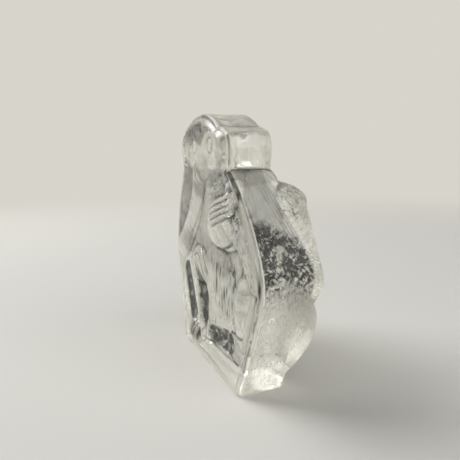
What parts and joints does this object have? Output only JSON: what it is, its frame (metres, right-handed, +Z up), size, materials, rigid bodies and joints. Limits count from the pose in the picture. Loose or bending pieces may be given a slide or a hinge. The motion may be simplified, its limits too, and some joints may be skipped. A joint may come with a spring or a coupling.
{
  "type": "monkey figurine",
  "caption": "Seated monkey pressed in one thick slab of clear glass, with the face, arms, hand, legs and feet in relief on the front and a rounded back, standing on its flat base.",
  "frame": {"origin": "middle of the base on the surface it stands on, under the middle of the figurine's box", "axes": "+Z up to the crown of the head, -Y out of the face, +X to the right seen from the front"},
  "size_m": [0.1046, 0.0374, 0.12],
  "materials": {
    "clear_glass": "pressed, fire polished, with mould texture on the sides"
  },
  "bodies": {
    "root": {"glass_monkey": "clear_glass"}
  },
  "joints": []
}
